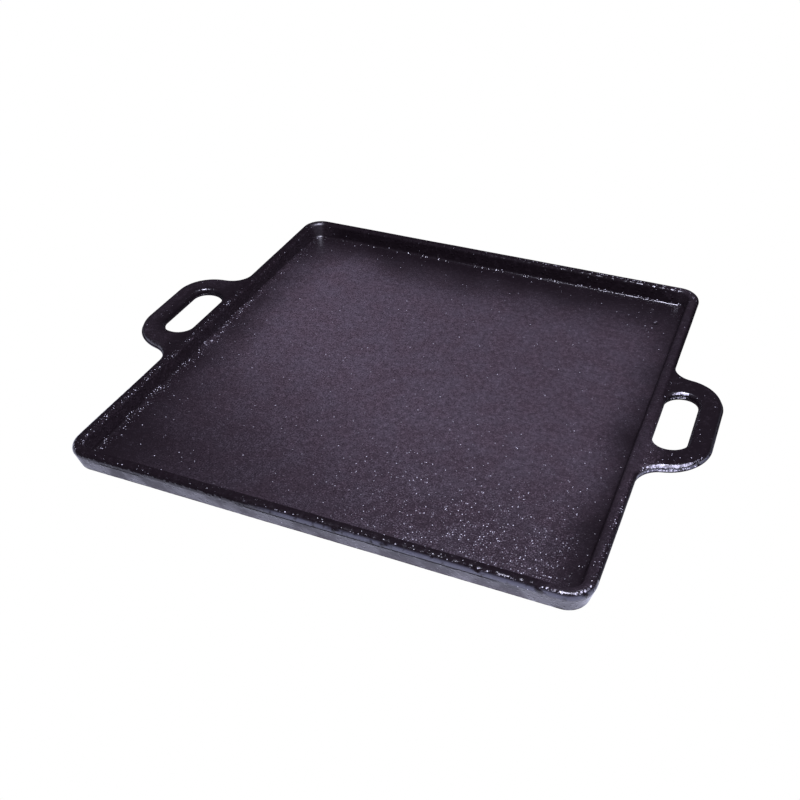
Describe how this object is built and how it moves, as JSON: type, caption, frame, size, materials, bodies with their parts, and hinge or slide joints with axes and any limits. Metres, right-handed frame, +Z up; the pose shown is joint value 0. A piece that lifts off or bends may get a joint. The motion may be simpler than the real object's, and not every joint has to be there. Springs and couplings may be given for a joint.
{
  "type": "griddle plate",
  "caption": "Square cast-iron griddle plate: flat cooking floor, low flared rim and loop handles on opposite sides, for frying over a camp stove or a fire grate.",
  "frame": {"origin": "middle of the flat underside, which is where the plate rests", "axes": "+Z up; X runs through both handles; -Y is the side nearest the viewer in the picture"},
  "size_m": [0.4296, 0.35, 0.018],
  "materials": {
    "seasoned_iron": "oil-seasoned purple-black cast iron with a fine sand-cast grain and a dull sheen"
  },
  "bodies": {
    "root": {"cooking_plate": "seasoned_iron", "rim": "seasoned_iron", "left_handle": "seasoned_iron", "right_handle": "seasoned_iron"}
  },
  "joints": []
}
